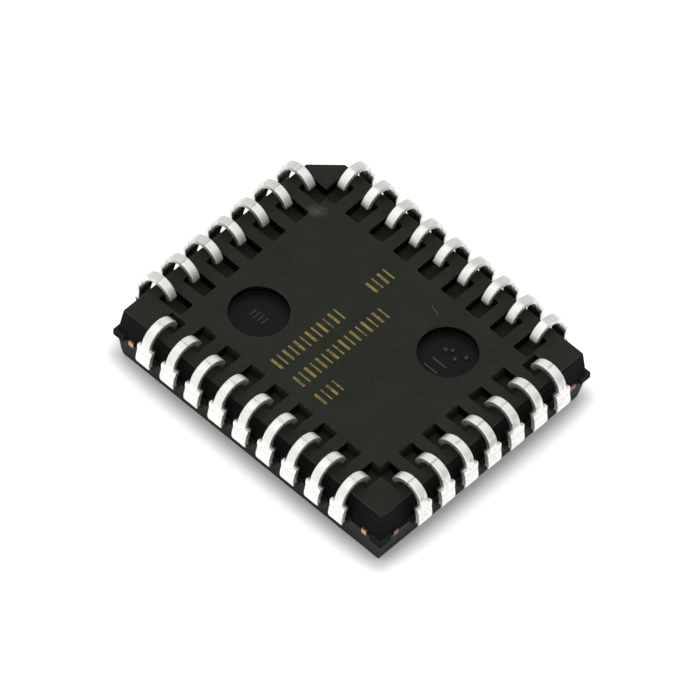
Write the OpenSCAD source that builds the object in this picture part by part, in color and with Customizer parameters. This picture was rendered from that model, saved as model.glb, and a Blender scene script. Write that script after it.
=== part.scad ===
// Plastic leaded chip carrier with thirty-two J leads, lying on its marked face with the leads upward.
// Millimetres. X runs along the long side, Y along the short side and Z up from the marked face.

/* [Leads] */
// Distance between the centres of neighbouring leads
pitch = 1.27; // [1.22:0.01:1.32]
// Thickness of the lead frame
lead_t = 0.25; // [0.2:0.01:0.3]
// Reach of a lead's outer face beyond the body's edge
lead_reach = 0.55; // [0.5:0.005:0.6]
// Width of a lead from the body up to its shoulder
wide_w = 0.7; // [0.62:0.01:0.8]
// Width of a lead above its shoulder
narrow_w = 0.4; // [0.34:0.01:0.5]
// Height of the J curve above the lead-side face
standoff = 0.61; // [0.5:0.01:0.7]
// Outer radius of the J curve
j_radius = 0.81; // [0.74:0.01:0.88]
// Direction in which the J curve ends, measured from straight outward
j_angle = 168; // [140:1:175]
// Lean of a lead's leg toward the body
leg_lean = 10; // [4:0.5:13]
// Distance from the start of the J curve down to the shoulder
shoulder_drop = 0.2; // [0.1:0.01:0.25]
// Inner radius of the bend where a lead leaves the body
exit_radius = 0.27; // [0.2:0.01:0.3]
// Depth of the cut stubs left on both sides of a shoulder
stub_w = 0.03; // [0.02:0.01:0.08]
// Height of the cut stubs
stub_h = 0.26; // [0.15:0.01:0.35]

/* [Body] */
// Distance from the last lead's centre line to the body's end
end_margin = 1.92; // [1.86:0.01:1.98]
// Height of the half that carries the marked face
marked_h = 1.42; // [1.3:0.01:1.6]
// Height of the half on the lead side
lead_side_h = 1.38; // [1.3:0.01:1.5]
// Draft angle of the marked half
marked_draft = 10; // [5:0.5:14]
// Draft angle of the lead-side half
lead_side_draft = 6; // [4:0.5:10]
// Step between the two halves at the parting plane
ledge = 0.05; // [0.03:0.01:0.12]
// Leg of the cut at the marked half's three plain corners
corner_cut = 0.12; // [0.06:0.01:0.3]
// Leg of the cut at the lead-side half's three plain corners
fine_cut = 0.05; // [0.03:0.01:0.12]
// Leg of the cut at the corner next to lead one
index_cut = 1.14; // [1:0.01:1.25]
// Reach of the flash lip that is left round each plain corner
lip_w = 0.08; // [0.05:0.01:0.12]
// Gap between the end of a lip and the tie bar's cut end
lip_gap = 0.23; // [0.05:0.01:0.3]

/* [Pockets and recesses] */
// Width of the pocket under each lead
pocket_w = 0.72; // [0.6:0.01:0.8]
// Distance from the body's edge to a pocket's inner end
pocket_in = 1.86; // [1.75:0.01:1.95]
// Depth of a pocket
pocket_d = 0.5; // [0.35:0.01:0.6]
// Lean of a pocket's inner end
pocket_lean = 12; // [5:0.5:25]
// Room between a pocket's outer end and the tip of the J curve
tip_room = 0.2; // [0.12:0.01:0.26]
// Amount by which the two crossed corner pockets stop short
pocket_short = 0.4; // [0.35:0.01:0.5]
// Diameter of the two ejector recesses
ejector_d = 2.4; // [2:0.05:2.8]
// Depth of the ejector recesses
ejector_depth = 0.35; // [0.2:0.01:0.45]
// Distance of a recess from the centre along the long side
ejector_x = 3.17; // [2.8:0.01:3.4]
// Distance of a recess from the centre along the short side
ejector_y = 1.89; // [1.6:0.01:2.1]
// Diameter of the shallow dimple that marks lead one
dimple_d = 1; // [0.7:0.05:1.4]
// Depth of the dimple
dimple_depth = 0.08; // [0.05:0.01:0.14]
// Distance from the body's edge to the dimple's centre
dimple_in = 1.6; // [1.3:0.05:2]

/* [Inside] */
// Length of the shortest lead finger inside the body
finger_l = 1.3; // [1.15:0.01:1.4]
// Growth of the fingers from the corners toward the middle
finger_step = 0.28; // [0.2:0.01:0.3]
// Width of a finger
finger_w = 0.46; // [0.4:0.01:0.52]
// Length of a lead's wide root inside the body
root_l = 0.5; // [0.35:0.01:0.7]
// Distance from the body's edge to the die paddle
paddle_in = 2.8; // [2.6:0.01:3]
// Width of the tie bars at the corners
tie_w = 0.24; // [0.2:0.01:0.3]
// Distance from a corner to the tie bars' cut ends
tie_in = 0.85; // [0.75:0.01:0.95]
// Distance from the paddle's edge to the die's edge
die_in = 0.9; // [0.7:0.01:1.1]
// Thickness of the die
die_t = 0.38; // [0.28:0.01:0.45]
// Thickness of the adhesive under the die
attach_t = 0.04; // [0.02:0.01:0.06]
// Thickness of a bond wire
wire_t = 0.05; // [0.04:0.005:0.06]
// Height of a bond wire's loop over the die
loop_h = 0.25; // [0.18:0.01:0.32]

/* [Hidden] */
$fn = 72;
long_n = 9;
short_n = 7;
body_l = (long_n - 1) * pitch + 2 * end_margin;
body_w = (short_n - 1) * pitch + 2 * end_margin;
parting_z = marked_h;
flat_z = marked_h + lead_side_h;
top_z = flat_z + standoff;
frame_low = parting_z - lead_t / 2;
frame_high = parting_z + lead_t / 2;
bend_radius = exit_radius + lead_t;
exit_u = lead_reach - bend_radius;
exit_z = frame_high + exit_radius;
j_z = top_z - j_radius;
leg_l = (j_z - exit_z + (j_radius - bend_radius) * sin(leg_lean)) / cos(leg_lean);
j_u = exit_u - (j_radius - bend_radius) * cos(leg_lean) - leg_l * sin(leg_lean);
shoulder = leg_l - shoulder_drop;
pocket_out = -j_u - (j_radius - lead_t) * cos(j_angle) - tip_room;
lip_l = tie_in - tie_w / 2 - lip_gap;
paddle_l = body_l - 2 * paddle_in;
paddle_w = body_w - 2 * paddle_in;
die_l = paddle_l - 2 * die_in;
die_w = paddle_w - 2 * die_in;
attach_rim = 0.12;
die_high = frame_low - attach_t;
die_low = die_high - die_t;
pad_in = 0.14;
pad_margin = 0.3;
foot_l = 0.14;
tie_out = 0.02;
loop_share = 0.35;
seat = 0.03;
over = 1;
resin = [0.16, 0.16, 0.16];
tin = [0.82, 0.82, 0.8];
copper = [0.78, 0.5, 0.34];
paste = [0.7, 0.7, 0.72];
silicon = [0.36, 0.38, 0.44];
gold = [0.9, 0.74, 0.34];

// Side of lead n: 0 front, 1 right, 2 back and 3 left, and its place there in pitches from the middle.
function side_of(n) = n < 5 || n > 29 ? 3 : n < 14 ? 2 : n < 21 ? 1 : 0;
function step_of(n) = n < 5 ? n - 1 : n > 29 ? n - 33 : n < 14 ? n - 9 : n < 21 ? 17 - n : 25 - n;
function is_long(s) = s == 0 || s == 2;
function edge_of(s) = is_long(s) ? body_w / 2 : body_l / 2;
function count_of(s) = is_long(s) ? long_n : short_n;
function from_end(n) = (count_of(side_of(n)) - 1) / 2 - abs(step_of(n));
function along_of(n) = (side_of(n) == 0 || side_of(n) == 1 ? 1 : -1) * step_of(n);
function finger_of(n) = finger_l + finger_step * min(from_end(n), 3);
function pocket_of(n) = n == 14 || n == 29 ? pocket_in - pocket_short : pocket_in;
function die_gap(s) = edge_of(s) - (is_long(s) ? die_w : die_l) / 2;
function pad_pitch(s) = ((is_long(s) ? die_l : die_w) - 2 * pad_margin) / (count_of(s) - 1);

// Moves its children to lead n: there X points out of the body from the edge and Y runs along the side.
module at_lead(n) {
    s = side_of(n);
    rotate([0, 0, [270, 0, 90, 180][s]])
        translate([edge_of(s), along_of(n) * pitch, 0])
            children();
}

// A slab with two leaning ends, left and right of the middle by the given distances at its foot.
module drafted_slab(left, right, h, lean, across) {
    s = h * tan(lean);
    rotate([90, 0, 0])
        linear_extrude(across, center = true)
            polygon([[-left, 0], [right, 0], [right - s, h], [s - left, h]]);
}

// One half of the body, standing on the parting plane, with its three plain corners cut alike.
module half(l, w, h, lean, plain, cut) {
    d = (l + w) / 2 / sqrt(2);
    across = l + w;
    intersection() {
        drafted_slab(l / 2, l / 2, h, lean, across);
        rotate([0, 0, 90])
            drafted_slab(w / 2, w / 2, h, lean, across);
        rotate([0, 0, 45])
            drafted_slab(d - plain / sqrt(2), d - plain / sqrt(2), h, lean, across);
        rotate([0, 0, 135])
            drafted_slab(d - plain / sqrt(2), d - cut / sqrt(2), h, lean, across);
    }
}

// The flash lip round one plain corner, as thick as the lead frame; turn picks the corner.
module corner_lip(sx, sy, turn) {
    translate([sx * body_l / 2, sy * body_w / 2, frame_low])
        rotate([0, 0, turn])
            linear_extrude(lead_t)
                polygon([[-lip_l, -lip_l], [lip_w, -lip_l], [lip_w, lip_w - fine_cut],
                    [lip_w - fine_cut, lip_w], [-lip_l, lip_w]]);
}

// The part of lead n that lies inside the body, from its finger out to the given distance past the edge.
module lead_root(n, out) {
    translate([-finger_of(n), -finger_w / 2, frame_low])
        cube([finger_of(n), finger_w, lead_t]);
    translate([-root_l, -wide_w / 2, frame_low])
        cube([root_l + out, wide_w, lead_t]);
}

// The pocket that the tip of lead n dips into, open upward, with a leaning inner end.
module lead_pocket(n) {
    lean = tan(pocket_lean);
    rotate([90, 0, 0])
        linear_extrude(pocket_w, center = true)
            polygon([[-pocket_out, flat_z - pocket_d], [-pocket_out, flat_z + over],
                [-pocket_of(n) - over * lean, flat_z + over],
                [-pocket_of(n) + pocket_d * lean, flat_z - pocket_d]]);
}

// A strip bent round an axis that runs along the side.
module bent_strip(inner, width, from, turn) {
    rotate([90, 0, 0])
        rotate([0, 0, from])
            rotate_extrude(angle = turn)
                translate([inner, -width / 2])
                    square([lead_t, width]);
}

// The leg's outline seen from outside, from the exit bend up to the J curve, with the stubs at its shoulder.
module leg_2d() {
    for (k = [0, 1]) {
        mirror([k, 0])
            polygon([[0, 0], [wide_w / 2, 0], [wide_w / 2, shoulder - stub_h],
                [wide_w / 2 + stub_w, shoulder - stub_h / 2], [wide_w / 2 + stub_w, shoulder],
                [narrow_w / 2, shoulder], [narrow_w / 2, leg_l], [0, leg_l]]);
    }
}

// The whole J lead in its own place.
module lead(n) {
    color(tin)
        at_lead(n)
            union() {
                lead_root(n, exit_u);
                translate([exit_u, 0, exit_z]) {
                    bent_strip(exit_radius, wide_w, -90, 90 + leg_lean);
                    rotate([0, -leg_lean, 0])
                        translate([exit_radius, 0, 0])
                            rotate([90, 0, 90])
                                linear_extrude(lead_t)
                                    leg_2d();
                }
                translate([j_u, 0, j_z])
                    bent_strip(j_radius - lead_t, narrow_w, leg_lean, j_angle - leg_lean);
            }
}

// The forked tie bar at one corner, from its cut ends to the paddle.
module tie_bar_2d(sx, sy) {
    translate([sx * body_l / 2, sy * body_w / 2]) {
        translate([-sx * tie_in - tie_w / 2, sy > 0 ? -tie_in : -tie_out])
            square([tie_w, tie_in + tie_out]);
        translate([sx > 0 ? -tie_in : -tie_out, -sy * tie_in - tie_w / 2])
            square([tie_in + tie_out, tie_w]);
        diagonal_2d(sx, sy, tie_in);
    }
}

// The slanting bar of a tie, which starts at the given distance from the corner.
module diagonal_2d(sx, sy, start) {
    rotate(atan2(-sy, -sx))
        translate([start * sqrt(2), -tie_w / 2])
            square([(paddle_in - start + tie_w) * sqrt(2), tie_w]);
}

module die_paddle() {
    color(copper)
        translate([0, 0, frame_low])
            linear_extrude(lead_t)
                union() {
                    square([paddle_l, paddle_w], center = true);
                    tie_bar_2d(1, 1);
                    tie_bar_2d(1, -1);
                    tie_bar_2d(-1, -1);
                    translate([-body_l / 2, body_w / 2])
                        diagonal_2d(-1, 1, index_cut / 2 - tie_out);
                }
}

// A block about the middle, between two heights.
module block(l, w, low, high) {
    translate([-l / 2, -w / 2, low])
        cube([l, w, high - low]);
}

module die_attach() {
    color(paste)
        block(die_l + 2 * attach_rim, die_w + 2 * attach_rim, die_high, frame_low);
}

module silicon_die() {
    color(silicon)
        block(die_l, die_w, die_low, die_high);
}

// The wire from the die to the finger of lead n, bent in one upright plane.
// Its ends run into the die and the finger by the given distance, which is none for the wire itself.
module bond_wire(n, into = 0) {
    s = side_of(n);
    pad_u = -die_gap(s) - pad_in;
    pad_v = along_of(n) * (pad_pitch(s) - pitch);
    end_u = -finger_of(n) + foot_l * 1.5;
    run = norm([end_u - pad_u, pad_v]);
    low = die_low - loop_h;
    bend = run * loop_share;
    lower_slope = (run - bend) / (frame_low - low);
    upper_slope = (run - foot_l - bend + wire_t / 2) / (frame_low - low - wire_t);
    at_lead(n)
        translate([pad_u, pad_v, 0])
            rotate([0, 0, atan2(-pad_v, end_u - pad_u)])
                rotate([90, 0, 0])
                    linear_extrude(wire_t, center = true)
                        polygon([[0, die_low + into], [0, low], [bend, low],
                            [run + into * lower_slope, frame_low + into],
                            [run - foot_l + into * upper_slope, frame_low + into],
                            [bend - wire_t / 2, low + wire_t],
                            [wire_t, low + wire_t], [wire_t, die_low + into]]);
}

module bond_wires(s) {
    color(gold)
        union() {
            for (n = [1:32]) {
                if (side_of(n) == s) {
                    bond_wire(n);
                }
            }
        }
}

module mould_body() {
    color(resin)
        difference() {
            union() {
                translate([0, 0, parting_z])
                    mirror([0, 0, 1])
                        half(body_l, body_w, marked_h, marked_draft, corner_cut, index_cut);
                translate([0, 0, parting_z])
                    half(body_l - 2 * ledge, body_w - 2 * ledge, lead_side_h, lead_side_draft,
                        fine_cut, index_cut);
                corner_lip(1, 1, 0);
                corner_lip(-1, -1, 180);
                corner_lip(1, -1, 270);
            }
            for (n = [1:32]) {
                at_lead(n)
                    lead_pocket(n);
                at_lead(n)
                    lead_root(n, lead_reach);
                bond_wire(n, seat);
            }
            for (k = [-1, 1]) {
                translate([k * ejector_x, k * ejector_y, flat_z - ejector_depth])
                    cylinder(h = ejector_depth + over, d = ejector_d);
            }
            translate([dimple_in - body_l / 2, 0, -over])
                cylinder(h = over + dimple_depth, d = dimple_d);
            die_paddle();
            block(die_l + 2 * attach_rim, die_w + 2 * attach_rim, die_high, frame_high);
            block(die_l, die_w, die_low, frame_high);
        }
}

mould_body();
die_paddle();
die_attach();
silicon_die();
bond_wires(0);  // bond_wires_front
bond_wires(1);  // bond_wires_right
bond_wires(2);  // bond_wires_back
bond_wires(3);  // bond_wires_left
lead(1);  // lead_01
lead(2);  // lead_02
lead(3);  // lead_03
lead(4);  // lead_04
lead(5);  // lead_05
lead(6);  // lead_06
lead(7);  // lead_07
lead(8);  // lead_08
lead(9);  // lead_09
lead(10);  // lead_10
lead(11);  // lead_11
lead(12);  // lead_12
lead(13);  // lead_13
lead(14);  // lead_14
lead(15);  // lead_15
lead(16);  // lead_16
lead(17);  // lead_17
lead(18);  // lead_18
lead(19);  // lead_19
lead(20);  // lead_20
lead(21);  // lead_21
lead(22);  // lead_22
lead(23);  // lead_23
lead(24);  // lead_24
lead(25);  // lead_25
lead(26);  // lead_26
lead(27);  // lead_27
lead(28);  // lead_28
lead(29);  // lead_29
lead(30);  // lead_30
lead(31);  // lead_31
lead(32);  // lead_32
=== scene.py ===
"""Dresses a plastic leaded chip carrier that lies on its marked face: moulded resin, tinned J leads,
ink marks and a white stage. Pieces are modelled in millimetres and brought to metres when they are done."""

import math

import bmesh
import bpy
from bpy.props import FloatProperty, FloatVectorProperty, PointerProperty
from mathutils import Matrix, Vector


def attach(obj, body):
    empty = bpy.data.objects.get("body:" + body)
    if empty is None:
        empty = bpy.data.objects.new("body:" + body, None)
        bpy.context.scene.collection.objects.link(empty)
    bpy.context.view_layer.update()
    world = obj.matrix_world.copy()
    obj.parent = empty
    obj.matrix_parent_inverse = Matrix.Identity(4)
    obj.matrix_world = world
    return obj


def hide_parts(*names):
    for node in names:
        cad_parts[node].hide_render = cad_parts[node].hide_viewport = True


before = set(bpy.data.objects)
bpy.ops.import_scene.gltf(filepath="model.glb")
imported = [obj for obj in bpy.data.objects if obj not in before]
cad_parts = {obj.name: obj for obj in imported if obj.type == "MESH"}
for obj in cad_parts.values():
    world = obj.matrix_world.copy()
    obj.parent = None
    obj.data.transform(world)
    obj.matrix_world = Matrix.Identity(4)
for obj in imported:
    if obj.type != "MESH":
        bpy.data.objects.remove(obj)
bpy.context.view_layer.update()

bl_info = {
    "name": "Leaded chip carrier",
    "version": (1, 0, 0),
    "blender": (4, 5, 0),
    "location": "View3D > Sidebar > Chip carrier",
    "description": "Moulded resin, tinned J leads, ink marks and a white stage for a chip carrier",
    "category": "Object",
}

MM = 0.001
BODY = "root"
LEADS = range(1, 33)
SIDES = ("front", "right", "back", "left")
# For each side: its number of leads, its middle lead, and the turn that makes +X point out of it
COUNTS = (9, 7, 9, 7)
MIDDLES = (25, 17, 9, 1)
TURNS = (-90, 0, 90, 180)
# Leads whose pockets stop short, because they would cross a pocket of the next side
SHORT_POCKETS = (14, 29)
# In millimetres: how near corners are that merge, and places that count as equal
TOUCH = 1e-4
NEAR = 1e-3


def length(name, about, millimetres):
    """A length property, given in millimetres and kept in metres."""
    return FloatProperty(name=name, description=about, default=millimetres * MM, min=0, precision=6,
                         unit="LENGTH")


def angle(name, about, degrees):
    return FloatProperty(name=name, description=about, default=math.radians(degrees), subtype="ANGLE")


def colour(name, about, value):
    return FloatVectorProperty(name=name, description=about, default=value, size=3, min=0, max=1,
                               subtype="COLOR")


class BodySizes(bpy.types.PropertyGroup):
    """Sizes of the moulded body."""

    body_l: length("Length", "Body along the long side, at the parting plane", 14)
    body_w: length("Width", "Body along the short side, at the parting plane", 11.46)
    parting: length("Parting height", "Height of the plane between the two halves", 1.42)
    flat: length("Flat height", "Height of the lead-side face", 2.8)
    marked_draft: angle("Marked draft", "Lean of the marked half's sides", 10)
    lead_draft: angle("Lead-side draft", "Lean of the lead-side half's sides", 6)
    ledge: length("Ledge", "Step between the halves", 0.05)
    corner_cut: length("Corner cut", "Cut at the marked half's plain corners", 0.12)
    fine_cut: length("Fine cut", "Cut at the lead-side half's plain corners", 0.05)
    index_cut: length("Index cut", "Cut at the corner next to lead one", 1.14)
    lip_w: length("Lip reach", "Reach of the flash lip round a plain corner", 0.08)
    lip_l: length("Lip length", "Length of the lip along each side", 0.5)
    pocket_w: length("Pocket width", "Width of the pocket under a lead", 0.72)
    pocket_in: length("Pocket length", "From the body's edge to a pocket's inner end", 1.86)
    pocket_d: length("Pocket depth", "Depth of a pocket", 0.5)
    pocket_lean: angle("Pocket lean", "Lean of a pocket's inner end", 12)
    tip_room: length("Tip room", "Between a pocket's outer end and the J's tip", 0.2)
    pocket_short: length("Short pocket", "Amount by which the crossed pockets stop short", 0.4)
    ejector_d: length("Recess diameter", "Diameter of the two ejector recesses", 2.4)
    ejector_depth: length("Recess depth", "Depth of the ejector recesses", 0.35)
    ejector_x: length("Recess along", "Recess from the centre along the long side", 3.17)
    ejector_y: length("Recess across", "Recess from the centre along the short side", 1.89)
    dimple_d: length("Dimple diameter", "Dimple that marks lead one", 1)
    dimple_depth: length("Dimple depth", "Depth of the dimple", 0.08)
    dimple_in: length("Dimple place", "From the body's edge to the dimple's centre", 1.6)
    round_over: length("Edge round", "Width of the rounded mould edges", 0.05)
    pocket_round: length("Pocket round", "Width of the rounding at a pocket's inner end", 0.11)


class LeadSizes(bpy.types.PropertyGroup):
    """Sizes of the J leads."""

    pitch: length("Pitch", "Between neighbouring leads", 1.27)
    thick: length("Thickness", "Thickness of the strip", 0.25)
    reach: length("Reach", "Outer face beyond the body's edge", 0.55)
    wide_w: length("Wide width", "Width below the shoulder", 0.7)
    narrow_w: length("Narrow width", "Width above the shoulder", 0.4)
    top: length("Top", "Height of the top of the J", 3.41)
    j_radius: length("J radius", "Outer radius of the J", 0.81)
    j_end: angle("J end", "Direction in which the J ends", 168)
    lean: angle("Lean", "Lean of the leg toward the body", 10)
    shoulder_drop: length("Shoulder drop", "From the J's start down to the shoulder", 0.2)
    exit_radius: length("Exit radius", "Inner radius of the bend at the body", 0.27)
    stub_w: length("Stub depth", "Depth of the cut stubs at the shoulder", 0.03)
    stub_h: length("Stub height", "Height of the cut stubs", 0.26)
    root: length("Root", "Length of strip inside the resin", 0.35)
    edge: length("Edge round", "Width of the strip's softened edges", 0.06)


class Finishes(bpy.types.PropertyGroup):
    """Colours of the finishes."""

    resin: colour("Resin", "Black filled epoxy", (0.0152, 0.0186, 0.0128))
    resin_pale: colour("Worn resin", "Edges and scuffs", (0.075, 0.072, 0.062))
    tin: colour("Tin plate", "Satin tin on the leads", (0.93, 0.92, 0.885))
    # This colour holds the real stains and also the painted shade on the left row's inner slopes.
    stain_and_shade: colour("Tin stain", "Grey-brown tarnish on the leads", (0.40, 0.36, 0.31))
    # Painted shade: the dark tone given to the tin where a lead faces the body.
    gap_shade: colour("Tin in the gap", "Dull tin where a lead faces the body", (0.06, 0.058, 0.048))
    copper: colour("Copper", "Cut ends of the tie bars", (0.58, 0.32, 0.19))
    ink: colour("Ink", "Ochre marks", (0.27, 0.20, 0.05))
    paste: colour("Die paste", "Silver filled adhesive", (0.62, 0.62, 0.64))
    silicon: colour("Silicon", "Die", (0.20, 0.21, 0.26))
    gold: colour("Gold", "Bond wires", (0.90, 0.70, 0.30))
    floor: colour("Floor", "White table", (0.90, 0.90, 0.90))


def in_mm(value):
    return value / MM


def rest():
    """Leave edit mode and clear the selection."""
    if bpy.context.object and bpy.context.object.mode != "OBJECT":
        bpy.ops.object.mode_set(mode="OBJECT")
    bpy.ops.object.select_all(action="DESELECT")


def take(obj):
    """Make one object the only selected and the active one."""
    rest()
    obj.select_set(True)
    bpy.context.view_layer.objects.active = obj


def settle(obj):
    """Put an object's place, turn and scale into its mesh."""
    take(obj)
    bpy.ops.object.transform_apply(location=True, rotation=True, scale=True)
    return obj


def named(obj, name):
    obj.name = name
    obj.data.name = name
    return obj


def block(name, low, high):
    """A cube between two corners."""
    rest()
    bpy.ops.mesh.primitive_cube_add(size=1, location=(Vector(low) + Vector(high)) / 2)
    obj = named(bpy.context.object, name)
    obj.scale = Vector(high) - Vector(low)
    return settle(obj)


def edit(obj):
    take(obj)
    bpy.ops.object.mode_set(mode="EDIT")
    bpy.ops.mesh.select_all(action="SELECT")


def pick(obj, kind, test):
    """Select the parts of the edited mesh whose corners all pass a test."""
    bpy.ops.mesh.select_mode(type=kind)
    bpy.ops.mesh.select_all(action="DESELECT")
    mesh = bmesh.from_edit_mesh(obj.data)
    parts = {"VERT": mesh.verts, "EDGE": mesh.edges, "FACE": mesh.faces}[kind]
    found = [p for p in parts if all(test(c.co) for c in ([p] if kind == "VERT" else p.verts))]
    if not found:
        raise RuntimeError(f"{obj.name}: nothing to select")
    for part in found:
        part.select_set(True)
    mesh.select_flush_mode()
    bmesh.update_edit_mesh(obj.data)


def trim(point, normal):
    """Cut off what lies beyond a plane and close the cut."""
    bpy.ops.mesh.select_all(action="SELECT")
    bpy.ops.mesh.bisect(plane_co=point, plane_no=normal, use_fill=True, clear_outer=True)


def push(value):
    bpy.ops.mesh.extrude_region_move(TRANSFORM_OT_translate={"value": value})


def close_up():
    """Merge what coincides and turn the faces outward."""
    bpy.ops.mesh.select_all(action="SELECT")
    bpy.ops.mesh.remove_doubles(threshold=TOUCH)
    bpy.ops.mesh.normals_make_consistent(inside=False)


def modify(obj, kind, **settings):
    """Add a modifier and apply it."""
    take(obj)
    modifier = obj.modifiers.new(kind.title(), kind)
    for key, value in settings.items():
        setattr(modifier, key, value)
    bpy.ops.object.modifier_apply(modifier=modifier.name)


def combine(obj, other, operation):
    """Unite with another closed solid, or cut it away, and remove that solid."""
    modify(obj, "BOOLEAN", operation=operation, solver="EXACT", object=other)
    bpy.data.objects.remove(other)


def join(pieces, name):
    take(pieces[0])
    for piece in pieces[1:]:
        piece.select_set(True)
    if len(pieces) > 1:
        bpy.ops.object.join()
    return named(bpy.context.object, name)


def copy_of(obj, name):
    """A copy with its own mesh."""
    take(obj)
    bpy.ops.object.duplicate(linked=False)
    return named(bpy.context.object, name)


def finish_piece(obj, material, slot, *nodes):
    """Bring a piece to metres, give it its finish and tie it to the part's one body."""
    obj.scale = (MM, MM, MM)
    settle(obj)
    obj.data.materials.clear()
    obj.data.materials.append(material)
    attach(obj, BODY)
    if nodes:
        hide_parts(*nodes)
    rest()


def soften(obj, degrees):
    """Smooth shading up to an angle, with the wide faces kept flat."""
    take(obj)
    bpy.ops.object.shade_smooth_by_angle(angle=math.radians(degrees))
    modify(obj, "WEIGHTED_NORMAL", mode="FACE_AREA", weight=50, keep_sharp=True)


def from_middle(n, s):
    """Pitches from lead n to the middle lead of side s, counted round the body the shorter way."""
    half = len(LEADS) // 2
    return (MIDDLES[s] - n + half) % len(LEADS) - half


def side_of(n):
    return next(s for s, count in enumerate(COUNTS) if abs(from_middle(n, s)) <= count // 2)


def at_lead(n, body, leads):
    """The place of lead n: X points out of the body from its edge and Y runs along the side."""
    s = side_of(n)
    edge = in_mm(body.body_w if COUNTS[s] == max(COUNTS) else body.body_l) / 2
    along = from_middle(n, s) * in_mm(leads.pitch)
    return Matrix.Rotation(math.radians(TURNS[s]), 4, "Z") @ Matrix.Translation((edge, along, 0))


def course_of(body, leads):
    """Centres and lengths along a lead: the exit bend's radius and centre, the leg, and the J's centre."""
    thick, lean, radius = in_mm(leads.thick), leads.lean, in_mm(leads.j_radius)
    bend = in_mm(leads.exit_radius) + thick
    bend_at = Vector((in_mm(leads.reach) - bend, 0, in_mm(body.parting) - thick / 2 + bend))
    j_z = in_mm(leads.top) - radius
    leg = (j_z - bend_at.z + (radius - bend) * math.sin(lean)) / math.cos(lean)
    j_at = Vector((bend_at.x - (radius - bend) * math.cos(lean) - leg * math.sin(lean), 0, j_z))
    return bend, bend_at, leg, j_at


class Nodes:
    """An emptied node tree and short ways to fill it."""

    def __init__(self, tree):
        self.tree = tree
        tree.nodes.clear()

    def add(self, kind, **settings):
        node = self.tree.nodes.new(kind)
        for key, value in settings.items():
            setattr(node, key, value)
        return node

    def feed(self, socket, value):
        """Link an output to a socket, or set the socket to a constant."""
        if isinstance(value, bpy.types.NodeSocket):
            self.tree.links.new(value, socket)
        elif hasattr(value, "__len__") and socket.type == "RGBA" and len(value) == 3:
            socket.default_value = (*value, 1)
        else:
            socket.default_value = value

    def calc(self, operation, a, b=0.0, c=0.0):
        node = self.add("ShaderNodeMath", operation=operation)
        for socket, value in zip(node.inputs, (a, b, c)):
            self.feed(socket, value)
        return node.outputs[0]

    def times(self, first, *others):
        """The product of all values."""
        for value in others:
            first = self.calc("MULTIPLY", first, value)
        return first

    def most(self, first, *others):
        """The largest of all values."""
        for value in others:
            first = self.calc("MAXIMUM", first, value)
        return first

    def less(self, value, other):
        return self.calc("SUBTRACT", value, other)

    def size(self, value):
        return self.calc("ABSOLUTE", value)

    def ramp(self, value, low, high, to_low=0.0, to_high=1.0):
        """A smooth step of a value from one level to another."""
        node = self.add("ShaderNodeMapRange", interpolation_type="SMOOTHSTEP")
        for socket, number in zip(node.inputs, (value, low, high, to_low, to_high)):
            self.feed(socket, number)
        return node.outputs[0]

    def vector(self, operation, a, b=(0, 0, 0), output="Vector"):
        node = self.add("ShaderNodeVectorMath", operation=operation)
        self.feed(node.inputs[0], a)
        self.feed(node.inputs[1], b)
        return node.outputs[output]

    def along(self, vector, way):
        """How far a vector points along a way."""
        return self.vector("DOT_PRODUCT", vector, way, "Value")


class Paint(Nodes):
    """A new node material with one principled shader."""

    def __init__(self, name):
        self.material = bpy.data.materials.new(name)
        self.material.use_nodes = True
        super().__init__(self.material.node_tree)
        self.shader = self.add("ShaderNodeBsdfPrincipled")
        self.feed(self.add("ShaderNodeOutputMaterial").inputs[0], self.shader.outputs[0])
        self.place = self.add("ShaderNodeTexCoord").outputs["Object"]

    def set(self, **values):
        for key, value in values.items():
            self.feed(self.shader.inputs[key.replace("_", " ")], value)

    def noise(self, period, detail=3, place=None, rough=0.5):
        """Noise between 0 and 1 whose grain has the given size in millimetres."""
        node = self.add("ShaderNodeTexNoise")
        self.feed(node.inputs["Vector"], place or self.place)
        self.feed(node.inputs["Scale"], 1 / (period * MM))
        self.feed(node.inputs["Detail"], detail)
        self.feed(node.inputs["Roughness"], rough)
        return node.outputs["Fac"]

    def mix(self, factor, a, b):
        node = self.add("ShaderNodeMix", data_type="RGBA")
        self.feed(node.inputs["Factor"], factor)
        self.feed(node.inputs[6], a)
        self.feed(node.inputs[7], b)
        return node.outputs[2]

    def spot(self, place, turn, size):
        """Coordinates about a place in millimetres, turned, and in units of the given size."""
        node = self.add("ShaderNodeMapping", vector_type="TEXTURE")
        self.feed(node.inputs["Vector"], self.place)
        self.feed(node.inputs["Location"], [p * MM for p in place])
        self.feed(node.inputs["Rotation"], (0, 0, math.radians(turn)))
        self.feed(node.inputs["Scale"], [s * MM for s in size])
        return node.outputs[0]

    def split(self, vector):
        node = self.add("ShaderNodeSeparateXYZ")
        self.feed(node.inputs[0], vector)
        return node.outputs

    def far(self, vector):
        """Length of a vector."""
        return self.vector("LENGTH", vector, output="Value")

    def bump(self, height, distance, strength=1.0, below=None):
        """Bump of a height between 0 and 1 that stands for the given distance in millimetres."""
        node = self.add("ShaderNodeBump")
        self.feed(node.inputs["Height"], height)
        self.feed(node.inputs["Distance"], distance * MM)
        self.feed(node.inputs["Strength"], strength)
        if below is not None:
            self.feed(node.inputs["Normal"], below)
        return node.outputs[0]


def tint(value, share):
    """A colour at a share of its level."""
    return [c * share for c in value]


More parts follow.
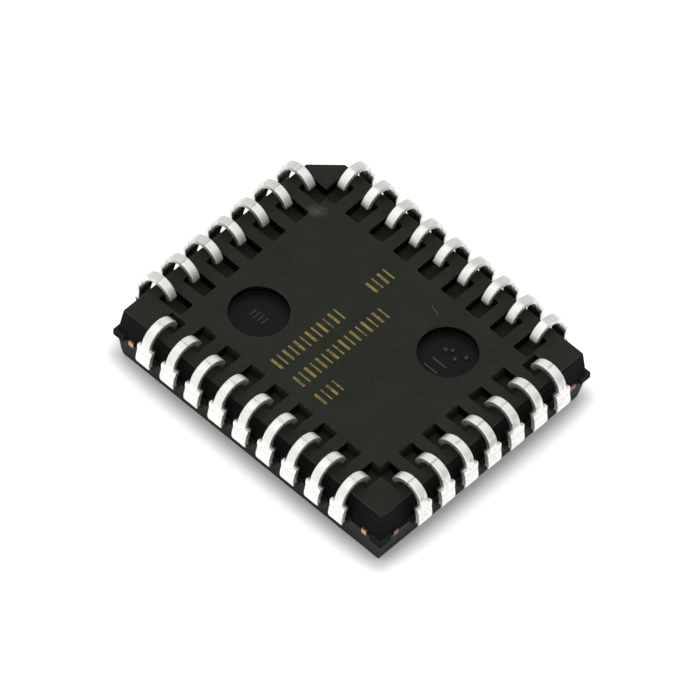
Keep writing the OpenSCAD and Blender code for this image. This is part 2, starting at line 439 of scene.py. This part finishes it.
def resin_finish(colours, body):
    """Matte filled epoxy: fine grain, cloudy tone, painted shade on the steep walls and the recess floors, worn
    edges, a scuff and a scratch.
    """
    p = Paint("moulded_resin")
    flat, recess_floor = body.flat, body.flat - body.ejector_depth
    grain, cloud, fine = p.noise(0.05, 4, rough=0.6), p.noise(1.6, 3), p.noise(0.18, 3)
    tone = p.ramp(p.calc("ADD", p.times(cloud, 0.5), p.times(fine, 0.5)), 0.3, 0.7)
    base = p.mix(tone, tint(colours.resin, 0.75), tint(colours.resin, 1.25))

    x, y, height = p.split(p.place)
    faces = p.add("ShaderNodeNewGeometry").outputs
    # Painted shade: steep walls, and the floors of the recesses, take a much darker tone than the flat.
    wall = p.ramp(p.size(p.split(faces["True Normal"])[2]), 0.2, 0.12)
    sunk = p.calc("COMPARE", height, recess_floor, 0.02 * MM)
    wall_shade_tone = tint(colours.resin, 0.12)
    base = p.mix(p.most(wall, p.times(sunk, 0.9)), base, wall_shade_tone)

    edge_x, edge_y, edge_from, edge_to = body.body_l / 2, body.body_w / 2, 0.3 * MM, 0.4 * MM
    inner = p.times(p.ramp(p.size(x), edge_x - edge_from, edge_x - edge_to),
                    p.ramp(p.size(y), edge_y - edge_from, edge_y - edge_to))
    outer_dull, inner_shine, recess_shine = 0.35, 0.3, 0.18
    dulled = p.times(wall, p.ramp(inner, 0.0, 1.0, outer_dull, -inner_shine))
    sheen = p.less(p.times(sunk, recess_shine), dulled)

    facing = p.split(faces["Normal"])[2]
    rim = p.times(p.ramp(height, flat - 0.06 * MM, flat - 0.02 * MM), p.ramp(facing, 0.99, 0.8))
    worn = p.times(rim, p.ramp(p.noise(0.5, 4), 0.42, 0.62))
    scuff_at = p.spot((-4.97, 3.14, in_mm(flat)), 35, (0.6, 0.42, 0.6))
    scuff = p.times(p.ramp(p.far(scuff_at), 1.0, 0.0), p.ramp(p.noise(0.16, 4, rough=0.6), 0.3, 0.62))
    line = p.spot((1.47, 2.96, in_mm(flat)), -18.7, (0.3, 0.03, 0.1))
    along, across, deep = (p.size(value) for value in p.split(line))
    scratch = p.times(p.ramp(across, 1.0, 0.3), p.ramp(along, 1.05, 0.7), p.ramp(deep, 1.2, 0.8))
    pale = p.most(p.times(worn, 0.35), scuff, scratch)
    p.set(Base_Color=p.mix(pale, base, list(colours.resin_pale)),
          Roughness=p.less(p.ramp(fine, 0.25, 0.75, 0.5, 0.6), sheen),
          Specular_IOR_Level=0.14, Normal=p.bump(grain, 0.012, 0.5, p.bump(scratch, 0.01)))
    return p.material


def tin_finish(colours, body, apex, shoulder):
    """Matte tin plate, brushed along the strip, with worn and stained places, painted shade on the left row's
    inner slopes, and painted shade and more roughness where it faces the body.
    The strip's own map runs along it in U and across it in V; the apex and the shoulder are places along it."""
    p = Paint("tin_plate")
    strip = p.add("ShaderNodeUVMap", uv_map="strip").outputs[0]
    along = p.split(strip)[0]
    brushed = p.add("ShaderNodeMapping")
    p.feed(brushed.inputs["Vector"], strip)
    p.feed(brushed.inputs["Scale"], (0.12, 1, 1))
    hair = p.noise(0.02, 3, brushed.outputs[0])
    cloud, fleck, blotch = p.noise(0.3, 4), p.noise(0.09, 3, rough=0.6), p.noise(1.1, 2)

    x, y, z = p.split(p.place)
    row_from, row_to = 5.7 * MM, 6.1 * MM
    ends = p.ramp(p.size(x), row_from, row_to)
    right, left = p.ramp(x, row_from, row_to), p.ramp(x, -row_from, -row_to)
    far_rows = p.ramp(p.less(y, x), -0.5 * MM, 0.5 * MM)
    long_drift = p.times(p.calc("MULTIPLY_ADD", y, 0.011, 0.03 * MM), p.less(1.0, ends))
    drift = p.calc("MULTIPLY_ADD", p.times(x, ends), -0.009, long_drift)

    def band(centre, half, soft, shift=0.0):
        """1 near a place along the strip, in millimetres, falling to 0 over the soft width."""
        off = p.size(p.less(p.less(along, centre * MM), shift))
        return p.ramp(off, (half + soft) * MM, half * MM)

    def by_row(row, elsewhere, there):
        """A share that is different on the leads of a row."""
        return p.ramp(row, 0.0, 1.0, elsewhere, there)

    rubbed = p.times(band(apex, 0.02, 0.045, drift), p.ramp(fleck, 0.34, 0.56), by_row(ends, 0.4, 0.7))
    smeared = p.times(band(shoulder + 0.3, 0.06, 0.2), p.ramp(cloud, 0.34, 0.6), by_row(right, 0.25, 0.7))
    scored = p.times(band(shoulder - 0.3, 0.008, 0.02), p.ramp(cloud, 0.3, 0.55), 0.5)
    creased = p.times(band(shoulder - 0.3, 0.3, 0.15), p.ramp(fleck, 0.5, 0.68), by_row(right, 0.12, 0.42))
    flecked = p.times(p.ramp(fleck, 0.5, 0.72), p.ramp(blotch, 0.4, 0.62), 0.35)
    # A darker cloudy band on the outer slope up to the apex, on the back and left rows only.
    far_apex_band = p.times(band(apex - 0.3, 0.25, 0.06, drift), far_rows, p.ramp(cloud, 0.25, 0.7, 0.5, 1.0), 0.4)
    # Painted shade: the left row's inner slopes darken from beyond the apex toward the tip.
    left_slope_shade = p.times(p.ramp(along, (apex + 0.4) * MM, (apex + 1.0) * MM), left, 0.75)
    marks = p.most(rubbed, smeared, scored, flecked, creased, far_apex_band, left_slope_shade)
    base = p.mix(p.ramp(cloud, 0.3, 0.7), tint(colours.tin, 0.94), list(colours.tin))
    # The marks hold real stains and the painted shade on the left row's slopes.
    base = p.mix(marks, base, list(colours.stain_and_shade))

    # Painted shade: the tin behind the leg and round the exit bend, where it faces the body, takes the dark gap
    # tone and more roughness.
    out = p.most(p.less(p.size(x), body.body_l / 2), p.less(p.size(y), body.body_w / 2))
    behind = p.times(p.ramp(out, 0.34 * MM, 0.26 * MM), p.ramp(z, 2.75 * MM, 2.45 * MM))
    under = p.times(p.ramp(out, 0.5 * MM, 0.42 * MM), p.ramp(z, 1.85 * MM, 1.6 * MM))
    gap = p.most(behind, under)
    height = p.calc("ADD", p.times(hair, 0.3), p.times(cloud, 0.7))
    p.set(Base_Color=p.mix(gap, base, list(colours.gap_shade)), Metallic=1.0,
          Roughness=p.calc("MULTIPLY_ADD", gap, 0.4, p.ramp(fleck, 0.2, 0.8, 0.38, 0.52)),
          Normal=p.bump(height, 0.016, 0.5))
    return p.material


def cloudy_finish(name, value, roughness, period, metal=False, browned=None):
    """A solid with a cloudy tone and fine grain, browner beyond a place along the long side if one is given."""
    p = Paint(name)
    cloud = p.noise(period, 4)
    base = p.mix(p.ramp(cloud, 0.3, 0.7), tint(value, 0.78 if metal else 0.8), list(value))
    if browned is not None:
        brown = p.ramp(p.split(p.place)[0], browned - 0.1 * MM, browned)
        base = p.mix(brown, base, tint(value, 0.4))
    p.set(Base_Color=base, Metallic=1.0 if metal else 0.0,
          Roughness=p.ramp(cloud, 0.2, 0.8, roughness * 0.8, roughness * 1.2),
          Normal=p.bump(p.noise(period / 5, 3), 0.004, 0.4))
    return p.material


def ink_finish(colours):
    """Thin ochre ink that is worn through to the dark resin in specks."""
    p = Paint("ochre_ink")
    patch, speck = p.noise(0.3, 4, rough=0.65), p.noise(0.07, 3, rough=0.6)
    cover = p.ramp(p.calc("ADD", p.times(patch, 0.6), p.times(speck, 0.4)), 0.34, 0.56)
    p.set(Base_Color=p.mix(cover, tint(colours.resin, 1.6), list(colours.ink)), Specular_IOR_Level=0.3,
          Roughness=p.ramp(speck, 0.3, 0.7, 0.5, 0.65), Normal=p.bump(speck, 0.006, 0.4))
    return p.material


def drafted_half(name, size, foot, end, draft, plain, index):
    """A block that leans inward from its foot at the parting plane to its end, with its corners cut."""
    up = 1 if end > foot else -1
    half, spare, index_turn = size / 2, 1, 3
    obj = block(name, (-half.x - spare, -half.y - spare, min(foot, end)),
                (half.x + spare, half.y + spare, max(foot, end)))
    edit(obj)
    corner = (half.x + half.y) / math.sqrt(2)
    for turn in range(8):
        way = Vector((math.cos(turn * math.pi / 4), math.sin(turn * math.pi / 4), 0))
        if turn % 2:
            reach = corner - (index if turn == index_turn else plain) / math.sqrt(2)
        else:
            reach = half.y if turn % 4 else half.x
        normal = way * math.cos(draft) + Vector((0, 0, up * math.sin(draft)))
        trim(way * reach + Vector((0, 0, foot)), normal)
    close_up()
    rest()
    return obj


def corner_lip(sizes, thick, sx, sy):
    """Flash left round a plain corner, as thick as the lead frame."""
    corner = Vector((sx * in_mm(sizes.body_l) / 2, sy * in_mm(sizes.body_w) / 2, in_mm(sizes.parting)))
    out, back, cut = in_mm(sizes.lip_w), in_mm(sizes.lip_l), in_mm(sizes.fine_cut)
    (x_low, x_high), (y_low, y_high) = (
        sorted((corner[k] - s * back, corner[k] + s * out)) for k, s in enumerate((sx, sy)))
    obj = block("lip", (x_low, y_low, corner.z - thick / 2), (x_high, y_high, corner.z + thick / 2))
    edit(obj)
    way = Vector((sx, sy, 0)).normalized()
    trim(corner + Vector((sx * out, sy * (out - cut), 0)), way)
    close_up()
    rest()
    return obj


def round_edges(obj, sizes, thick):
    """Round the mould's edges, each kind by its own share of the edge width."""
    flat, part = in_mm(sizes.flat), in_mm(sizes.parting)
    floors = (flat - in_mm(sizes.pocket_d), flat - in_mm(sizes.ejector_depth))
    half = Vector((in_mm(sizes.body_l) / 2, in_mm(sizes.body_w) / 2, 0))
    full = sizes.pocket_round / sizes.round_over
    floor_share, hole_share, corner_share, parting_share = 0.3, 0.7, 0.4, 0.25
    nearly_flat, below_top = math.radians(4), flat - 0.2
    lean_slack, length_slack = 0.02, 0.2

    def ends_pocket(face):
        """Whether a face is the leaning inner end of a pocket of full length."""
        k = 0 if abs(face.normal.x) > abs(face.normal.y) else 1
        deep = half[k] - max(abs(v.co[k]) for v in face.verts)
        leans = abs(face.normal.z - math.sin(sizes.pocket_lean)) < lean_slack
        return leans and deep > in_mm(sizes.pocket_in) - length_slack

    mesh = bmesh.new()
    mesh.from_mesh(obj.data)
    share = mesh.edges.layers.float.new("bevel_weight_edge")
    for e in mesh.edges:
        if len(e.link_faces) != 2 or e.calc_face_angle() < nearly_flat:
            continue
        low, high = sorted(v.co.z for v in e.verts)
        if low > flat - NEAR:
            e[share] = full if any(ends_pocket(f) for f in e.link_faces) else 1
        elif any(abs(low - f) < NEAR and abs(high - f) < NEAR for f in floors):
            e[share] = floor_share
        elif low > min(floors) - NEAR:
            e[share] = hole_share
        elif high < NEAR:
            e[share] = 1
        elif low < NEAR or high > below_top or high < part - thick:
            e[share] = corner_share
        else:
            e[share] = parting_share
        e[share] /= full
    mesh.to_mesh(obj.data)
    mesh.free()
    modify(obj, "BEVEL", limit_method="WEIGHT", width=in_mm(sizes.pocket_round), segments=3,
           use_clamp_overlap=False, miter_outer="MITER_ARC")
    edit(obj)
    close_up()
    rest()


class CARRIER_OT_resin_body(bpy.types.Operator):
    """Model the moulded body: two drafted halves, flash lips, pockets, recesses and rounded edges"""

    bl_idname = "carrier.resin_body"
    bl_label = "Moulded body"

    def execute(self, context):
        sizes, leads = context.scene.carrier_body, context.scene.carrier_leads
        thick = in_mm(leads.thick)
        size = Vector((in_mm(sizes.body_l), in_mm(sizes.body_w)))
        part, flat, ledge = in_mm(sizes.parting), in_mm(sizes.flat), in_mm(sizes.ledge)
        body = drafted_half("resin_body", size, part, 0, sizes.marked_draft, in_mm(sizes.corner_cut),
                            in_mm(sizes.index_cut))
        upper = drafted_half("upper", size - Vector((2 * ledge, 2 * ledge)), part, flat, sizes.lead_draft,
                             in_mm(sizes.fine_cut), in_mm(sizes.index_cut))
        combine(body, upper, "UNION")
        for sx, sy in ((1, 1), (-1, -1), (1, -1)):
            combine(body, corner_lip(sizes, thick, sx, sy), "UNION")
        self.score(body, size, sizes)
        for s in range(4):
            combine(body, self.pocket_row(s, sizes, leads), "DIFFERENCE")
        for k in (-1, 1):
            combine(body, self.disc(sizes.ejector_d, (k * in_mm(sizes.ejector_x), k * in_mm(sizes.ejector_y),
                                                      flat - in_mm(sizes.ejector_depth)), 1), "DIFFERENCE")
        combine(body, self.disc(sizes.dimple_d, (in_mm(sizes.dimple_in) - size.x / 2, 0,
                                                 in_mm(sizes.dimple_depth)), -1), "DIFFERENCE")
        round_edges(body, sizes, thick)
        soften(body, 35)
        finish_piece(body, resin_finish(context.scene.carrier_finishes, sizes), "resin", "mould_body")
        return {"FINISHED"}

    def score(self, body, size, sizes):
        """Divide the wide faces through the recesses and the pockets, so that no hole lies inside a face."""
        edit(body)
        across_pockets = 1.2
        for k in (-1, 1):
            for x in (k * in_mm(sizes.ejector_x), k * (size.x / 2 - across_pockets)):
                bpy.ops.mesh.select_all(action="SELECT")
                bpy.ops.mesh.bisect(plane_co=(x, 0, 0), plane_no=(1, 0, 0))
            for y in (k * in_mm(sizes.ejector_y), k * (size.y / 2 - across_pockets)):
                bpy.ops.mesh.select_all(action="SELECT")
                bpy.ops.mesh.bisect(plane_co=(0, y, 0), plane_no=(0, 1, 0))
        rest()

    def pocket_row(self, s, sizes, leads):
        """The cutters of one side's pockets, in one object."""
        inner, half, spare = in_mm(sizes.pocket_in), in_mm(sizes.pocket_w) / 2, 1
        flat, depth = in_mm(sizes.flat), in_mm(sizes.pocket_d)
        j_at = course_of(sizes, leads)[3]
        tip = j_at.x + in_mm(leads.j_radius - leads.thick) * math.cos(leads.j_end)
        outer = tip + in_mm(sizes.tip_room)
        away = Vector((-math.cos(sizes.pocket_lean), 0, -math.sin(sizes.pocket_lean)))
        cutters = []
        for n in LEADS:
            if side_of(n) != s:
                continue
            short = in_mm(sizes.pocket_short) if n in SHORT_POCKETS else 0
            cutter = block("pocket", (-inner - spare, -half, flat - depth), (outer, half, flat + spare))
            edit(cutter)
            trim((short - inner, 0, flat), away)
            close_up()
            rest()
            cutter.matrix_world = at_lead(n, sizes, leads)
            cutters.append(settle(cutter))
        return join(cutters, "pockets_" + SIDES[s])

    def disc(self, diameter, place, way):
        """A round cutter that stands or hangs at a place."""
        rest()
        bpy.ops.mesh.primitive_cylinder_add(vertices=64, radius=in_mm(diameter) / 2, depth=1,
                                            location=Vector(place) + Vector((0, 0, way / 2)))
        return settle(named(bpy.context.object, "disc"))


class CARRIER_OT_j_leads(bpy.types.Operator):
    """Model one J lead as a bent strip and copy it to the thirty-two places"""

    bl_idname = "carrier.j_leads"
    bl_label = "J leads"

    def execute(self, context):
        body, leads = context.scene.carrier_body, context.scene.carrier_leads
        bend, bend_at, leg, _ = course_of(body, leads)
        start = bend_at.x + in_mm(leads.root) + (math.pi / 2 + leads.lean) * bend + leg
        apex = start + (math.pi / 2 - leads.lean) * in_mm(leads.j_radius)
        tin = tin_finish(context.scene.carrier_finishes, body, apex, start - in_mm(leads.shoulder_drop))
        first = self.strip(body, leads)
        for n in LEADS:
            lead = copy_of(first, f"j_lead_{n:02d}")
            lead.matrix_world = at_lead(n, body, leads)
            settle(lead)
            finish_piece(lead, tin, "tinned_lead", f"lead_{n:02d}")
        bpy.data.objects.remove(first)
        return {"FINISHED"}

    def strip(self, body, leads):
        """The lead at the origin: X points out of the body and Y runs along its side."""
        thick, lean, root = in_mm(leads.thick), leads.lean, in_mm(leads.root)
        bend, bend_at, leg, j_at = course_of(body, leads)
        out, rise = bend_at.x, bend_at.z
        shoulder = leg - in_mm(leads.shoulder_drop)
        stub_w, stub_h = in_mm(leads.stub_w), in_mm(leads.stub_h)
        narrow, wide = in_mm(leads.narrow_w) / 2, in_mm(leads.wide_w) / 2
        up = Vector((-math.sin(lean), 0, math.cos(lean)))
        foot = Vector((out + bend * math.cos(lean), 0, rise + bend * math.sin(lean)))

        rest()
        bpy.ops.mesh.primitive_plane_add(size=1, location=((out - root) / 2, 0, rise - bend))
        obj = named(bpy.context.object, "strip")
        obj.scale = (out + root, 2 * narrow, 1)
        settle(obj)
        edit(obj)
        pick(obj, "EDGE", lambda c: c.x > out - TOUCH)
        bpy.ops.mesh.spin(steps=10, angle=math.pi / 2 + lean, center=bend_at, axis=(0, 1, 0))
        pick(obj, "EDGE", lambda c: -TOUCH < (c - foot).dot(up) < NEAR)
        for start, end in ((0, shoulder - stub_h), (shoulder - stub_h, shoulder - stub_h / 2),
                           (shoulder - stub_h / 2, shoulder), (shoulder, leg)):
            push(up * (end - start))
        bpy.ops.mesh.spin(steps=20, angle=leads.j_end - lean, center=j_at, axis=(0, 1, 0))

        top = (foot + up * shoulder).z + TOUCH
        stub_low = (foot + up * (shoulder - stub_h)).z - TOUCH
        for way in (-1, 1):
            pick(obj, "EDGE", lambda c: c.y * way > narrow - TOUCH and c.z < top)
            push((0, way * (wide - narrow), 0))
            pick(obj, "EDGE", lambda c: c.y * way > wide - TOUCH and stub_low < c.z < top)
            push((0, way * stub_w, 0))
            pick(obj, "VERT", lambda c: c.y * way > wide + stub_w / 2 and c.z < stub_low + NEAR)
            bpy.ops.transform.translate(value=(0, -way * stub_w, 0))
        close_up()
        mesh = bmesh.from_edit_mesh(obj.data)
        leg_face = max(mesh.faces, key=lambda f: f.calc_center_median().x)
        if leg_face.normal.x < 0:
            bpy.ops.mesh.flip_normals()
        rest()
        modify(obj, "SOLIDIFY", thickness=thick, offset=-1, use_even_offset=True)
        self.weigh_edges(obj, narrow, stub_low)
        modify(obj, "BEVEL", limit_method="WEIGHT", width=in_mm(leads.edge), segments=3,
               use_clamp_overlap=False)
        edit(obj)
        close_up()
        rest()
        soften(obj, 35)
        self.map_strip(obj, bend_at, bend, lean, leg, j_at, in_mm(leads.j_radius), root)
        return obj

    def weigh_edges(self, obj, narrow, stub_low):
        """Full rounding along the strip, a third of it round the small stubs and the shoulder."""
        mesh = bmesh.new()
        mesh.from_mesh(obj.data)
        share = mesh.edges.layers.float.new("bevel_weight_edge")
        sharp, beside, small_share = math.radians(40), narrow + 0.01, 0.3
        for e in mesh.edges:
            if len(e.link_faces) == 2 and e.calc_face_angle() > sharp:
                small = any(abs(v.co.y) > beside and v.co.z > stub_low for v in e.verts)
                e[share] = small_share if small else 1
        mesh.to_mesh(obj.data)
        mesh.free()

    def map_strip(self, obj, bend_at, bend, lean, leg, j_at, radius, root):
        """A map, in metres, with the distance along the outer face in U and the place across it in V."""
        straight = bend_at.x + root
        turn = (math.pi / 2 + lean) * bend
        layer = obj.data.uv_layers.new(name="strip")
        for loop in obj.data.loops:
            c = obj.data.vertices[loop.vertex_index].co
            from_bend, from_j = c - bend_at, c - j_at
            j_way = math.atan2(from_j.z, from_j.x)
            bend_way = math.atan2(from_bend.z, from_bend.x)
            if c.z > j_at.z and j_way > lean:
                along = straight + turn + leg + (j_way - lean) * radius
            elif c.x < bend_at.x and c.z < bend_at.z:
                along = c.x + root
            elif bend_way < lean:
                along = straight + (bend_way + math.pi / 2) * bend
            else:
                along = straight + turn + from_bend.dot(Vector((-math.sin(lean), 0, math.cos(lean))))
            layer.data[loop.index].uv = (along * MM, c.y * MM)


class CARRIER_OT_lead_frame(bpy.types.Operator):
    """Give the paddle, its tie bars, the die, its paste and the bond wires their finishes"""

    bl_idname = "carrier.lead_frame"
    bl_label = "Inner pieces"

    def execute(self, context):
        colours = context.scene.carrier_finishes
        right_end = context.scene.carrier_body.body_l / 2 - 0.1 * MM
        finishes = {
            "die_paddle": cloudy_finish("bare_copper", colours.copper, 0.38, 0.2, True, right_end),
            "die_attach": cloudy_finish("silver_paste", colours.paste, 0.5, 0.3),
            "silicon_die": cloudy_finish("polished_silicon", colours.silicon, 0.15, 0.8),
        }
        wire = cloudy_finish("drawn_gold", colours.gold, 0.2, 0.1, True)
        finishes.update({"bond_wires_" + side: wire for side in SIDES})
        for name, material in finishes.items():
            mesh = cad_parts[name].data
            mesh.materials.clear()
            mesh.materials.append(material)
        return {"FINISHED"}


class CARRIER_OT_ink_marks(bpy.types.Operator):
    """Lay the rows of plain ochre bars on the lead-side face"""

    bl_idname = "carrier.ink_marks"
    bl_label = "Ink marks"

    # In millimetres: each row's place along the long side, its first bar's place across it, and its bars
    rows = ((-0.95, -3.2, 12), (-0.95, 2.0, 4), (0.2, -3.2, 16), (1.35, -3.2, 4))
    pitch = 0.31
    tall = 0.62
    widths = (0.12, 0.07)
    corner = 0.03
    film = 0.004

    def execute(self, context):
        flat = in_mm(context.scene.carrier_body.flat)
        bars = []
        for x, y, count in self.rows:
            for k in range(count):
                bars.append(self.bar(x, y + k * self.pitch, flat, self.widths[k % 2]))
        marks = join(bars, "ink_marks")
        finish_piece(marks, ink_finish(context.scene.carrier_finishes), "resin")
        return {"FINISHED"}

    def bar(self, x, y, flat, width):
        """One bar of ink with rounded corners and a thin edge."""
        rest()
        bpy.ops.mesh.primitive_plane_add(size=1, location=(x, y, flat))
        obj = named(bpy.context.object, "bar")
        obj.scale = (self.tall, width, 1)
        settle(obj)
        edit(obj)
        bpy.ops.mesh.select_mode(type="VERT")
        bpy.ops.mesh.select_all(action="SELECT")
        bpy.ops.mesh.bevel(offset=self.corner, segments=4, affect="VERTICES")
        bpy.ops.mesh.select_all(action="SELECT")
        push((0, 0, self.film))
        close_up()
        rest()
        return obj


class CARRIER_OT_recess_marks(bpy.types.Operator):
    """Raise the plain bars and pips on the floors of the two ejector recesses"""

    bl_idname = "carrier.recess_marks"
    bl_label = "Recess marks"

    # In millimetres, for each recess: a mark's place from the centre, its half sizes and its height
    marks = {
        -1: [(x, 0.02, 0.03, 0.2, 0.012) for x in (-0.3, -0.1, 0.1, 0.3)],
        1: [(-0.07, -0.86, 0.36, 0.045, 0.03), (-0.02, -0.43, 0.38, 0.045, 0.03), (-0.28, 0.19, 0.1, 0.1, 0.09),
            (-0.06, 0.35, 0.09, 0.09, 0.08), (0.28, 0.11, 0.1, 0.1, 0.09), (0.55, 0.48, 0.1, 0.1, 0.09)],
    }
    sunk = 0.02
    rounded = 0.85

    def execute(self, context):
        sizes = context.scene.carrier_body
        floor = in_mm(sizes.flat) - in_mm(sizes.ejector_depth)
        made = []
        for k, marks in self.marks.items():
            centre = Vector((k * in_mm(sizes.ejector_x), k * in_mm(sizes.ejector_y), floor))
            for x, y, half_x, half_y, high in marks:
                made.append(self.mark(centre + Vector((x, y, 0)), half_x, half_y, high))
        marks = join(made, "recess_bars")
        soften(marks, 40)
        # Painted highlight: the marks are a paler copy of the resin, standing in for the glints on the pips.
        resin = tint(context.scene.carrier_finishes.resin, 1.3)
        finish_piece(marks, cloudy_finish("moulded_bars", resin, 0.25, 0.2), "resin")
        return {"FINISHED"}

    def mark(self, at, half_x, half_y, high):
        """A low bar, or a round pip where it is as wide as it is long, with a rounded top."""
        if half_x == half_y:
            rest()
            bpy.ops.mesh.primitive_cylinder_add(vertices=24, radius=half_x, depth=high + self.sunk,
                                                location=at + Vector((0, 0, (high - self.sunk) / 2)))
            obj = settle(named(bpy.context.object, "pip"))
        else:
            obj = block("bar", at - Vector((half_x, half_y, self.sunk)), at + Vector((half_x, half_y, high)))
        edit(obj)
        pick(obj, "FACE", lambda c: c.z > at.z)
        bpy.ops.mesh.bevel(offset=high * self.rounded, segments=4, affect="EDGES")
        close_up()
        rest()
        return obj


class CARRIER_OT_stage(bpy.types.Operator):
    """Set the white floor, the soft light and the camera"""

    bl_idname = "carrier.stage"
    bl_label = "Stage"

    room_level = 1.12
    # Each patch of the room: the way to it, the degrees within which it is full and beyond which it ends,
    # and its change of the level
    room_patches = (((-0.25, -0.4, 0.88), 15, 60, 0.1), ((-0.39, 0.46, 0.8), 3, 14, -0.5),
                    ((0.88, 0.46, 0.12), 8, 32, -0.75))
    # The table's painted glow, which lifts the floor round the part's shadow: its level near the part and far
    # off, and the millimetres over which it rises and falls
    painted_glow = (0.5, 0.24)
    glow_rise, glow_fall = (0.0, 1.1), (1.5, 7.0)
    table_r, table_rim, table_gap = 0.5, 0.01, 1e-5
    # The view's turn, height and roll in degrees, and its distance in metres. The point that it aims at is
    # given in millimetres: a height over the table, and a way left of and below the part's middle there
    view, distance = (40.24, 53.23, 4.48), 0.6
    aim_height, aim_left, aim_below = 2.8, 0.1293, 0.7090
    lens, sensor = 811.7, 36

    def execute(self, context):
        self.floor(context.scene.carrier_finishes, context.scene.carrier_body)
        self.surroundings(context.scene)
        self.lamp("overhead", (-0.04, -0.08, 0.3), 0.2, 0.05)
        self.camera(context.scene)
        context.scene.view_settings.view_transform = "Standard"
        return {"FINISHED"}

    def floor(self, colours, body):
        """A wide round table top with a rounded rim, white but for the shadow at the part's foot, which a
        painted glow round the part narrows.
        """
        rest()
        bpy.ops.mesh.primitive_circle_add(vertices=96, radius=self.table_r, fill_type="NGON",
                                          location=(0, 0, -self.table_gap))
        obj = named(bpy.context.object, "table")
        settle(obj)
        edit(obj)
        bpy.ops.mesh.inset(thickness=self.table_rim)
        pick(obj, "VERT", lambda c: c.to_2d().length > self.table_r - self.table_rim / 2)
        bpy.ops.transform.translate(value=(0, 0, -self.table_rim))
        rest()
        p = Paint("white_table")
        rays = p.add("ShaderNodeLightPath").outputs
        seen = p.most(rays["Is Camera Ray"], rays["Is Glossy Ray"], rays["Is Transmission Ray"])
        lean_in = body.parting * math.tan(body.marked_draft)
        foot = (body.body_l / 2 - lean_in, body.body_w / 2 - lean_in, 1)
        beyond = p.vector("MAXIMUM", p.vector("SUBTRACT", p.vector("ABSOLUTE", p.place), foot))
        away = p.far(beyond)
        # Painted light: the emission is nothing at the part's foot, full about a millimetre out and lower far
        # off, so that the shadow stays narrow.
        near, far = self.painted_glow
        painted_glow = p.times(p.ramp(away, *(d * MM for d in self.glow_rise)),
                       p.ramp(away, *(d * MM for d in self.glow_fall), near, far))
        tone = p.ramp(p.noise(40, 2), 0.3, 0.7)
        p.set(Base_Color=p.mix(tone, tint(colours.floor, 0.98), list(colours.floor)), Roughness=0.9,
              Specular_IOR_Level=0.0, Emission_Color=(1.0, 1.0, 1.0), Emission_Strength=p.times(seen, painted_glow))
        obj.data.materials.append(p.material)

    def surroundings(self, scene):
        """A pale room, a little brighter overhead and in front and dimmer in two places behind."""
        world = bpy.data.worlds.new("pale_room")
        scene.world = world
        world.use_nodes = True
        n = Nodes(world.node_tree)
        way = n.add("ShaderNodeTexCoord").outputs["Generated"]
        level = self.room_level
        for place, near, far, change in self.room_patches:
            aim = n.along(way, Vector(place).normalized())
            patch = n.ramp(aim, math.cos(math.radians(far)), math.cos(math.radians(near)))
            level = n.calc("MULTIPLY_ADD", patch, change, level)
        room = n.add("ShaderNodeBackground")
        n.feed(room.inputs["Strength"], level)
        n.feed(n.add("ShaderNodeOutputWorld").inputs[0], room.outputs[0])

    def lamp(self, name, place, size, power):
        """A square soft lamp that faces the part."""
        rest()
        bpy.ops.object.light_add(type="AREA", location=place)
        lamp = named(bpy.context.object, name)
        lamp.data.shape = "SQUARE"
        lamp.data.size = size
        lamp.data.energy = power
        lamp.rotation_euler = (-Vector(place)).to_track_quat("-Z", "Y").to_euler()

    def camera(self, scene):
        """A long lens at the height and turn of the picture, with its small roll."""
        turn, rise, roll = (math.radians(d) for d in self.view)
        right = Vector((math.cos(turn), math.sin(turn), 0))
        back = Vector((math.sin(turn) * math.cos(rise), -math.cos(turn) * math.cos(rise), math.sin(rise)))
        up = back.cross(right)
        right, up = (right * math.cos(roll) + up * math.sin(roll), up * math.cos(roll) - right * math.sin(roll))
        target = (Vector((0, 0, self.aim_height)) - right * self.aim_left - up * self.aim_below) * MM
        rest()
        bpy.ops.object.camera_add()
        camera = bpy.context.object
        camera.name = "camera"
        camera.data.sensor_width = self.sensor
        camera.data.lens = self.lens
        camera.data.clip_start = 0.01
        camera.data.clip_end = 10
        place = Matrix.Translation(target + back * self.distance)
        camera.matrix_world = place @ Matrix((right, up, back)).transposed().to_4x4()
        scene.camera = camera


STEPS = (CARRIER_OT_resin_body, CARRIER_OT_j_leads, CARRIER_OT_lead_frame, CARRIER_OT_ink_marks,
         CARRIER_OT_recess_marks, CARRIER_OT_stage)


class CARRIER_PT_panel(bpy.types.Panel):
    """The steps that dress the chip carrier"""

    bl_idname = "CARRIER_PT_panel"
    bl_label = "Chip carrier"
    bl_space_type = "VIEW_3D"
    bl_region_type = "UI"
    bl_category = "Chip carrier"

    def draw(self, context):
        for step in STEPS:
            self.layout.operator(step.bl_idname)
        for group in ("carrier_body", "carrier_leads", "carrier_finishes"):
            box = self.layout.box()
            values = getattr(context.scene, group)
            for name in values.bl_rna.properties.keys():
                if name not in {"rna_type", "name"}:
                    box.prop(values, name)


CLASSES = (BodySizes, LeadSizes, Finishes, *STEPS, CARRIER_PT_panel)


def register():
    for item in CLASSES:
        bpy.utils.register_class(item)
    bpy.types.Scene.carrier_body = PointerProperty(type=BodySizes)
    bpy.types.Scene.carrier_leads = PointerProperty(type=LeadSizes)
    bpy.types.Scene.carrier_finishes = PointerProperty(type=Finishes)


def unregister():
    del bpy.types.Scene.carrier_body, bpy.types.Scene.carrier_leads, bpy.types.Scene.carrier_finishes
    for item in reversed(CLASSES):
        bpy.utils.unregister_class(item)


def main():
    register()
    bpy.ops.carrier.resin_body()
    bpy.ops.carrier.j_leads()
    bpy.ops.carrier.lead_frame()
    bpy.ops.carrier.ink_marks()
    bpy.ops.carrier.recess_marks()
    bpy.ops.carrier.stage()


if __name__ == "__main__":
    main()
